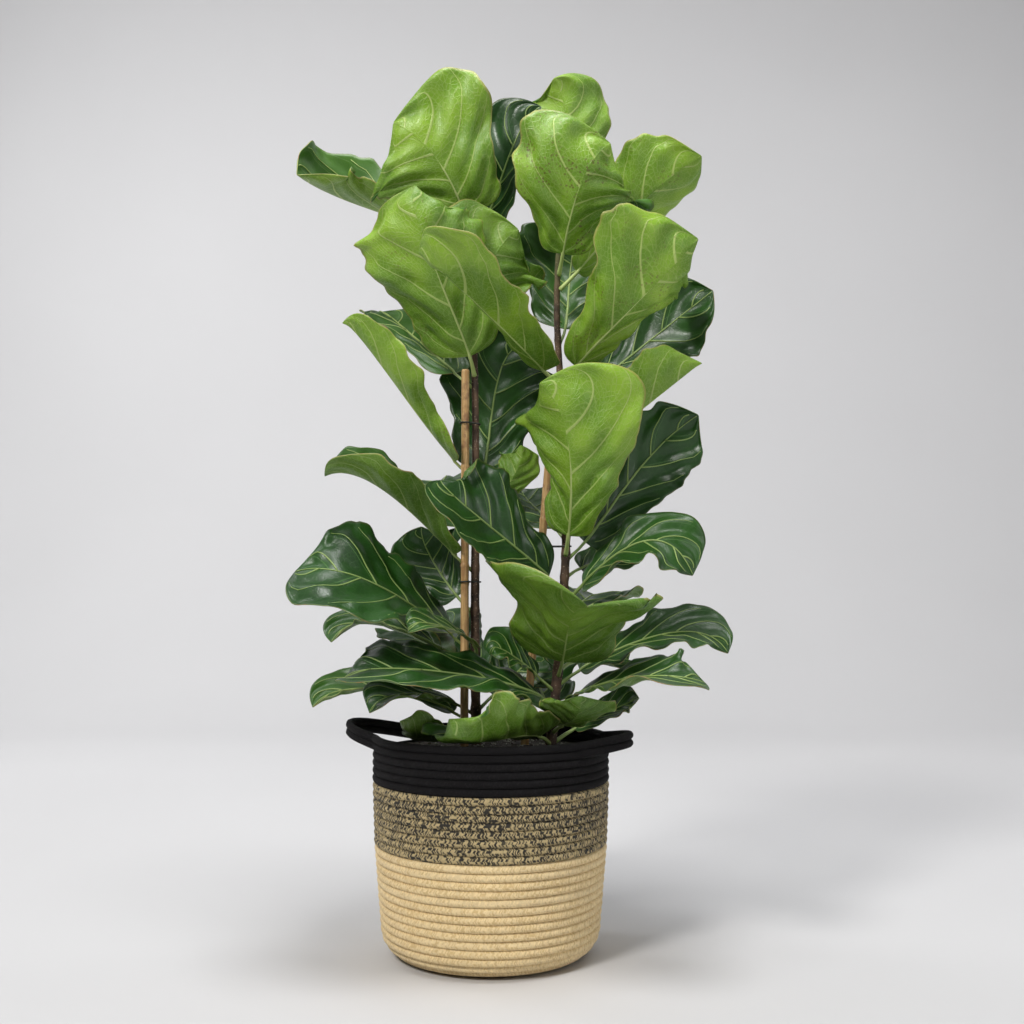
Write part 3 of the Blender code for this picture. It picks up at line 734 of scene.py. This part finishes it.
def build_soil(soil_look, grit_look):
    """Soil: a filled disc drawn up along the wall and closed in over the top, then roughened."""
    low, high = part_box("soil")
    edge = high.x - 0.4 * MM
    top = high.z
    levels = [(edge * 0.87, low.z + 12 * MM), (edge * 0.93, low.z + 60 * MM), (edge * 0.985, 200 * MM)]
    levels.append((edge, top - SOIL_FALL))
    for ring in range(1, SOIL_RINGS):
        share = ring / SOIL_RINGS
        wide = edge * (1 - share) + 1.5 * MM * share
        levels.append((wide, top - SOIL_FALL * (1 - share) ** SOIL_ROUND))
    deselect()
    bpy.ops.mesh.primitive_circle_add(
        vertices=112, radius=edge * 0.8, fill_type="NGON", location=(0, 0, low.z),
    )
    piece = bpy.context.object
    edit_all()
    radius, height = edge * 0.8, low.z
    for wide, high_up in levels:
        bpy.ops.mesh.extrude_region_move(TRANSFORM_OT_translate={"value": (0, 0, high_up - height)})
        bpy.ops.transform.resize(value=(wide / radius, wide / radius, 1))
        radius, height = wide, high_up
    bpy.ops.mesh.select_all(action="SELECT")
    bpy.ops.mesh.normals_make_consistent(inside=False)
    bpy.ops.object.mode_set(mode="OBJECT")
    bpy.ops.object.transform_apply(location=True, rotation=False, scale=False)
    for vertex in piece.data.vertices:
        place = vertex.co
        if place.z > top - 7.5 * MM:
            lump = noise.noise(place * 70) * 1.6 + noise.noise(place * 190) * 1.1
            place.z += min(lump, 0.8) * MM
    bpy.ops.object.shade_smooth()
    piece.name = "soil_bed"
    settle(piece, "soil", [soil_look])
    scatter_grit(edge, top, grit_look)


def scatter_grit(edge, top, grit_look):
    """Loose crumbs on the soil: one crumb, copied with its own mesh and joined."""
    rnd = random.Random(11)
    bpy.ops.mesh.primitive_ico_sphere_add(subdivisions=1, radius=1)
    crumb = bpy.context.object
    corners = np.array([vertex.co for vertex in crumb.data.vertices])
    faces = np.array([list(face.vertices) for face in crumb.data.polygons])
    bpy.data.objects.remove(crumb)
    points = []
    shapes = []
    for _ in range(CRUMBS):
        angle = rnd.uniform(0, 2 * math.pi)
        away = (edge - 6 * MM) * math.sqrt(rnd.random())
        size = rnd.uniform(0.9, 2.3) * MM
        ground = top - SOIL_FALL * (away / edge) ** SOIL_ROUND
        squash = np.array([rnd.uniform(0.6, 1.2), rnd.uniform(0.6, 1.2), rnd.uniform(0.5, 0.9)])
        rough = np.array([[rnd.uniform(0.8, 1.2)] for _ in corners])
        place = np.array([away * math.cos(angle), away * math.sin(angle), ground + 0.1 * MM])
        shapes.append(faces + len(points) * len(corners))
        points.append(corners * rough * squash * size + place)
    mesh = bpy.data.meshes.new("soil_grit")
    mesh.from_pydata(np.concatenate(points).tolist(), [], np.concatenate(shapes).tolist())
    grit = bpy.data.objects.new("soil_grit", mesh)
    bpy.context.scene.collection.objects.link(grit)
    mesh.materials.append(grit_look)
    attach(grit, "root")


# ---------------------------------------------------------------- trunks and canes

def tube(name, paths, sides):
    """Round tubes along paths, each a list of (point, radius), as one mesh with closed ends."""
    curve = bpy.data.curves.new(name, "CURVE")
    curve.dimensions = "3D"
    curve.bevel_depth = 1.0
    curve.bevel_resolution = sides
    curve.use_fill_caps = True
    for path in paths:
        line = curve.splines.new("POLY")
        line.points.add(len(path) - 1)
        for spot, (place, radius) in zip(line.points, path):
            spot.co = (*place, 1)
            spot.radius = radius
    made = bpy.data.objects.new(name, curve)
    bpy.context.scene.collection.objects.link(made)
    only(made)
    bpy.ops.object.convert(target="MESH")
    made = bpy.context.object
    edit_all()
    bpy.ops.mesh.remove_doubles(threshold=0.002 * MM)
    bpy.ops.mesh.normals_make_consistent(inside=False)
    bpy.ops.object.mode_set(mode="OBJECT")
    bpy.ops.object.shade_smooth()
    return made


def centre_line(node):
    """(point, radius) at each ring of a round CAD rod."""
    line = []
    for ring in rings_of(node):
        middle = sum(ring, Vector()) / len(ring)
        line.append((middle, sum((point - middle).length for point in ring) / len(ring)))
    return line


def smooth_line(points, count):
    """Points spaced along a smooth curve through the given ones."""
    knots = np.array([list(point) for point in points])
    return [Vector(row) for row in through(chord_shares(knots), knots, np.linspace(0, 1, count))]


def chord_shares(knots):
    steps = np.linalg.norm(np.diff(knots, axis=0), axis=1)
    return np.concatenate([[0], np.cumsum(steps)]) / steps.sum()


def through(shares, knots, wanted):
    """A smooth curve through knots at their shares, read at the wanted shares."""
    slopes = np.gradient(knots, shares, axis=0)
    found = np.clip(np.searchsorted(shares, wanted, side="right") - 1, 0, len(shares) - 2)
    span = (shares[found + 1] - shares[found])[:, None]
    t = (wanted - shares[found])[:, None] / span
    start, end = knots[found], knots[found + 1]
    a, b = slopes[found] * span, slopes[found + 1] * span
    return (
        (2 * t**3 - 3 * t**2 + 1) * start + (t**3 - 2 * t**2 + t) * a
        + (3 * t**2 - 2 * t**3) * end + (t**3 - t**2) * b
    )


def build_stems(bark, joints):
    """Trunks: swollen where each leaf grows, and rounded off at the top."""
    for side in ("left", "right"):
        node = "stem_" + side
        line = centre_line(node)
        radii = [radius for _, radius in line]
        heights = [place.z for place, _ in line]
        places = smooth_line([place for place, _ in line], 150)
        path = []
        for place in places:
            radius = float(np.interp(place.z, heights, radii))
            swell = sum(math.exp(-(((place.z - joint.z) / (4.5 * MM)) ** 2)) for joint in joints[side])
            radius *= 1 + 0.13 * min(swell, 1.4) + 0.05 * noise.noise(place * 60)
            left = places[-1].z - place.z
            radius *= min(1.0, 0.35 + left / (9 * MM))
            path.append((place, radius))
        piece = tube("trunk_" + side, [path], 5)
        for vertex in piece.data.vertices:
            vertex.co += vertex.normal * 0.35 * MM * noise.noise(vertex.co * 150)
        settle(piece, node, [bark])


def build_canes(bamboo):
    """Canes: a shallow ridge and groove at each joint of the bamboo."""
    for side, first_joint, spacing in (("left", 42 * MM, 128 * MM), ("right", 78 * MM, 141 * MM)):
        node = "cane_" + side
        (low, radius), (high, _) = centre_line(node)
        length = (high - low).length
        count = int(length / (2.2 * MM))
        path = []
        for step in range(count + 1):
            along = length * step / count
            from_joint = (along - first_joint + spacing / 2) % spacing - spacing / 2
            ridge = math.exp(-((from_joint / (1.7 * MM)) ** 2))
            groove = math.exp(-(((from_joint - 3.4 * MM) / (1.6 * MM)) ** 2))
            end = min(1.0, 0.75 + min(along, length - along) / (4 * MM))
            wide = radius * (0.95 + 0.16 * ridge - 0.05 * groove) * end
            path.append((low.lerp(high, along / length), wide))
        piece = tube("bamboo_" + side, [path], 6)
        settle(piece, node, [bamboo])


# ---------------------------------------------------------------- leaves

def blade_columns(rings):
    """Right margin, right quarter, midrib, left quarter and left margin along a blade, as arrays."""
    columns = [[], [], [], [], []]
    for ring in rings[PETIOLE_RINGS:]:
        size = len(ring)
        spans = [(ring[i] - ring[(i + 4) % size]).length for i in range(size)]
        first = spans.index(max(spans))
        point = [ring[(first + i) % size] for i in range(size)]
        columns[0].append(point[0])
        columns[1].append((point[1] + point[9]) / 2)
        columns[2].append(point[2])
        columns[3].append((point[3] + point[5]) / 2)
        columns[4].append(point[4])
    return [np.array([list(place) for place in column]) for column in columns]


def blade_sheet(columns, joint, rnd):
    """The blade as a grid of points and its upper normals, from base to tip and right to left."""
    middle = columns[2]
    tip = middle[-1] + (middle[-1] - middle[-2]) * 0.18
    ended = []
    for number, column in enumerate(columns):
        lean = (number - 2) / 2
        base = joint + (column[0] - middle[0]) * 0.05 * abs(lean)
        point = tip + (column[-1] - middle[-1]) * 0.25
        ended.append(np.vstack([base, column, point]))
    shares = chord_shares(ended[2])
    even = np.linspace(0, 1, BLADE_ROWS)
    wanted = 0.62 * even + 0.38 * (1 - np.cos(np.pi * even)) / 2
    lines = [through(shares, column, wanted) for column in ended]

    breadth = np.linspace(-1, 1, BLADE_COLUMNS + 1)
    sheet = np.zeros((BLADE_ROWS, BLADE_COLUMNS + 1, 3))
    for j, across in enumerate(breadth):
        t = abs(across)
        quarter, margin = (lines[1], lines[0]) if across < 0 else (lines[3], lines[4])
        inner = lines[2] * (1 - t) * (1 - 2 * t) + quarter * 4 * t * (1 - t)
        sheet[:, j] = inner + margin * t * (2 * t - 1)
    for _ in range(SOFTENING):
        sheet[1:-1] = (sheet[:-2] + 2 * sheet[1:-1] + sheet[2:]) / 4
    normals = sheet_normals(sheet)

    length = np.linalg.norm(np.diff(lines[2], axis=0), axis=1).sum()
    width = np.linalg.norm(sheet[:, 0] - sheet[:, -1], axis=1).max()
    size = min(1.0, width / 0.16)
    seed = rnd.uniform(0, 50)
    for i, along in enumerate(wanted):
        ends = min(1.0, 6 * along, 9 * (1 - along))
        waves = {}
        for side in (-1, 1):
            spot = Vector((along * length / 0.040, side * 7.3, seed))
            waves[side] = (
                noise.noise(spot) + 0.5 * noise.noise(spot * 2.3 + Vector((0, 0, 9))),
                noise.noise(spot * 1.2 + Vector((3, 5, 1)))
                + 0.7 * noise.noise(spot * 2.7 + Vector((7, 2, 4))),
            )
        spine = sheet[i, BLADE_COLUMNS // 2].copy()
        for j, across in enumerate(breadth):
            t = abs(across)
            ruffle, outline = waves[-1 if across < 0 else 1]
            vein = vein_place(along, across)
            pillow = -math.cos(2 * math.pi * vein) * math.sin(math.pi * min(1.0, t * 1.02)) ** 0.8
            wander = noise.noise(Vector((along * length / 0.07, across * width / 0.08, seed + 20)))
            lift = PILLOW * size * pillow + RUFFLE * size * ruffle * t**1.6
            lift += WANDER * size * wander * min(1.0, 3 * t)
            sheet[i, j] += (sheet[i, j] - spine) * UNEVEN * outline * ends * t
            sheet[i, j] += normals[i, j] * lift * ends * MM
    return sheet, sheet_normals(sheet), wanted, length


def vein_place(along, across):
    """Which side vein a place on the blade is at; whole numbers are veins."""
    t = abs(across)
    left = VEIN_STAGGER if across < 0 else 0.0
    return VEINS * (along - t * (VEIN_SLANT + VEIN_CURVE * t)) + left


def sheet_normals(sheet):
    """Unit normals of a grid of points, on its upper side."""
    along = np.gradient(sheet, axis=0)
    across = np.gradient(sheet, axis=1)
    normals = np.cross(across, along)
    return normals / np.maximum(np.linalg.norm(normals, axis=2, keepdims=True), 1e-9)


def leaf_blade(name, sheet):
    """A grid laid on the sheet, then thickened: upper face, under face and margin."""
    deselect()
    bpy.ops.mesh.primitive_grid_add(x_subdivisions=BLADE_ROWS - 1, y_subdivisions=BLADE_COLUMNS, size=2)
    blade = bpy.context.object
    blade.name = name
    for vertex in blade.data.vertices:
        i = round((vertex.co.x + 1) / 2 * (BLADE_ROWS - 1))
        j = round((vertex.co.y + 1) / 2 * BLADE_COLUMNS)
        vertex.co = sheet[i, j]
    thick = blade.modifiers.new("thick", "SOLIDIFY")
    thick.thickness = BLADE_THICK
    thick.offset = 0
    thick.use_even_offset = False
    thick.material_offset = 1
    thick.material_offset_rim = 2
    return blade


def vein_paths(sheet, normals, wanted, petiole, length):
    """Paths for the petiole with its midrib, and for the raised side veins under the blade."""
    centre = BLADE_COLUMNS // 2
    under = BLADE_THICK / 2
    path = list(petiole)
    for i in range(2, BLADE_ROWS - 1, 2):
        radius = (2.2 - 1.6 * wanted[i]) * MM * min(1.0, 0.55 + length / 0.4)
        place = Vector(sheet[i, centre] - normals[i, centre] * (under + 0.25 * radius))
        path.append((place, radius))
    paths = [path]
    breadth = np.linspace(-1, 1, BLADE_COLUMNS + 1)
    for side in (-1, 1):
        for vein in range(MOST_VEINS):
            path = []
            for t in np.linspace(0.0, VEIN_REACH, VEIN_STEPS):
                left = VEIN_STAGGER if side < 0 else 0.0
                along = (vein - left) / VEINS + t * (VEIN_SLANT + VEIN_CURVE * t)
                if not 0.035 < along < 0.97:
                    continue
                i = float(np.interp(along, wanted, np.arange(BLADE_ROWS)))
                j = float(np.interp(side * t, breadth, np.arange(BLADE_COLUMNS + 1)))
                place, normal = grid_read(sheet, i, j), grid_read(normals, i, j)
                radius = (1.15 - 0.85 * t) * MM * min(1.0, 0.45 + length / 0.36)
                path.append((Vector(place - normal * (under + 0.2 * radius)), radius))
            if len(path) > 5:
                paths.append(path)
    return paths


def grid_read(grid, i, j):
    """A grid's value between its points."""
    i0, j0 = min(int(i), grid.shape[0] - 2), min(int(j), grid.shape[1] - 2)
    a, b = i - i0, j - j0
    low = grid[i0, j0] * (1 - b) + grid[i0, j0 + 1] * b
    high = grid[i0 + 1, j0] * (1 - b) + grid[i0 + 1, j0 + 1] * b
    return low * (1 - a) + high * a


def build_leaves(looks):
    """Every leaf, and the places where their petioles meet each trunk."""
    joints = {"left": [], "right": []}
    stems = {side: centre_line("stem_" + side) for side in joints}
    for number, name in enumerate(sorted(node for node in nodes if node.startswith("leaf_"))):
        rnd = random.Random(1000 + number)
        rings = rings_of(name)
        columns = blade_columns(rings)
        petiole = []
        for ring in rings[:PETIOLE_RINGS]:
            middle = sum(ring, Vector()) / len(ring)
            petiole.append((middle, (ring[0] - middle).length))
        foot = petiole[0][0]
        back = (foot - petiole[1][0]).normalized()
        petiole.insert(0, (foot + back * STEM_REACH, petiole[0][1] * 1.15))
        side = min(joints, key=lambda side: from_line(stems[side], foot))
        joints[side].append(foot)
        joint = np.array(petiole[-1][0])
        sheet, normals, wanted, length = blade_sheet(columns, joint, rnd)
        blade = leaf_blade(name + "_blade", sheet)
        veins = tube(name + "_veins", vein_paths(sheet, normals, wanted, petiole, length), 1)
        for look in looks[:3]:
            blade.data.materials.append(look)
        apply_all(blade)
        veins.data.materials.append(looks[3])
        only(blade)
        bpy.ops.object.shade_smooth()
        leaf = joined([blade, veins], name.replace("leaf", "fig_leaf"))
        for title, table in (("youth", YOUTH), ("freckled", FRECKLES)):
            values = leaf.data.attributes.new(title, "FLOAT", "POINT").data
            values.foreach_set("value", [table.get(name, 0.0)] * len(values))
        settle(leaf, name)
    return joints


def from_line(line, place):
    """How far a place is from a trunk's centre line at its own height."""
    heights = [point.z for point, _ in line]
    x = np.interp(place.z, heights, [point.x for point, _ in line])
    y = np.interp(place.z, heights, [point.y for point, _ in line])
    return math.hypot(place.x - x, place.y - y)


# ---------------------------------------------------------------- stage

def area_light(name, place, aim, size, power, colour):
    lamp = bpy.data.lights.new(name, "AREA")
    lamp.shape = "DISK"
    lamp.size = size
    lamp.energy = power
    lamp.color = colour
    made = bpy.data.objects.new(name, lamp)
    made.visible_camera = False
    made.location = place
    made.rotation_euler = (Vector(aim) - Vector(place)).to_track_quat("-Z", "Y").to_euler()
    bpy.context.scene.collection.objects.link(made)


def build_stage():
    """A pale floor that sweeps up behind the object, soft lights and the camera."""
    deselect()
    bpy.ops.mesh.primitive_plane_add(size=1, location=(0, 0, 0))
    floor = bpy.context.object
    floor.name = "floor_sweep"
    edit_all()
    bpy.ops.transform.resize(value=(14, 10, 1))
    bpy.ops.transform.translate(value=(0, -2.6, 0))
    bpy.ops.object.mode_set(mode="OBJECT")
    back = max(vertex.co.y for vertex in floor.data.vertices)
    only(floor)
    bpy.ops.object.mode_set(mode="EDIT")
    shape = bmesh.from_edit_mesh(floor.data)
    for edge in shape.edges:
        edge.select_set(all(abs(corner.co.y - back) < MM for corner in edge.verts))
    bmesh.update_edit_mesh(floor.data)
    for step in range(SWEEP_STEPS):
        a, b = (math.pi / 2 * k / SWEEP_STEPS for k in (step, step + 1))
        out, up = math.sin(b) - math.sin(a), math.cos(a) - math.cos(b)
        move = (0, SWEEP_TURN * out, SWEEP_TURN * up)
        bpy.ops.mesh.extrude_region_move(TRANSFORM_OT_translate={"value": move})
    bpy.ops.mesh.extrude_region_move(TRANSFORM_OT_translate={"value": (0, 0, 5)})
    bpy.ops.object.mode_set(mode="OBJECT")
    bpy.ops.object.shade_smooth()
    pale, tree, shader = new_material("pale_floor", 0.85)
    place = add(tree, "TexCoord").outputs["Object"]
    grain = add(tree, "TexNoise", {"Vector": place, "Scale": 1.2, "Detail": 1.0}).outputs["Fac"]
    tree.links.new(blend(tree, grain, (0.66, 0.66, 0.67), (0.70, 0.70, 0.71)), shader.inputs["Base Color"])
    floor.data.materials.append(pale)

    world = bpy.data.worlds.new("studio")
    world.use_nodes = True
    world.node_tree.nodes["Background"].inputs["Color"].default_value = (0.95, 0.97, 1.0, 1)
    world.node_tree.nodes["Background"].inputs["Strength"].default_value = SKY_STRENGTH
    bpy.context.scene.world = world
    for light in LIGHTS:
        area_light(*light)

    camera = bpy.data.objects.new("camera", bpy.data.cameras.new("camera"))
    camera.data.lens = CAMERA_LENS
    camera.data.sensor_width = 36
    camera.location = CAMERA_PLACE
    camera.rotation_euler = (math.radians(90 + CAMERA_TILT), 0, 0)
    bpy.context.scene.collection.objects.link(camera)
    bpy.context.scene.camera = camera
    bpy.context.scene.view_settings.view_transform = "Standard"


def main():
    make_vein_group()
    make_skin_group()
    make_braid_group()
    # groove, and each rope's last colour below, is the painted shade laid in that rope's valleys.
    jute, gold, groove = (0.98, 0.80, 0.47), (0.90, 0.67, 0.32), (0.66, 0.45, 0.20)
    ropes = {
        "natural_rope": make_rope("natural_rope", jute, gold, 0.3, groove, 0.1),
        "heather_rope": make_rope(
            "heather_rope", (0.74, 0.58, 0.29), (0.018, 0.016, 0.012), 0.55, (0.04, 0.034, 0.024), 0.05,
        ),
        "black_rope": make_rope(
            "black_rope", (0.009, 0.008, 0.009), (0.02, 0.018, 0.02), 0.2, (0.002, 0.002, 0.002), 0.0,
            specular=0.2,
        ),
    }
    build_basket(ropes)
    build_soil(make_soil_material(), make_grit())
    joints = build_leaves([make_leaf_top(), make_leaf_under(), make_leaf_edge(), make_leaf_rib()])
    build_stems(make_bark(), joints)
    build_canes(make_bamboo())
    tie = make_tie()
    for node in ("tie_left_upper", "tie_left_lower", "tie_right"):
        nodes[node].data.materials.clear()
        nodes[node].data.materials.append(tie)
    build_stage()


main()
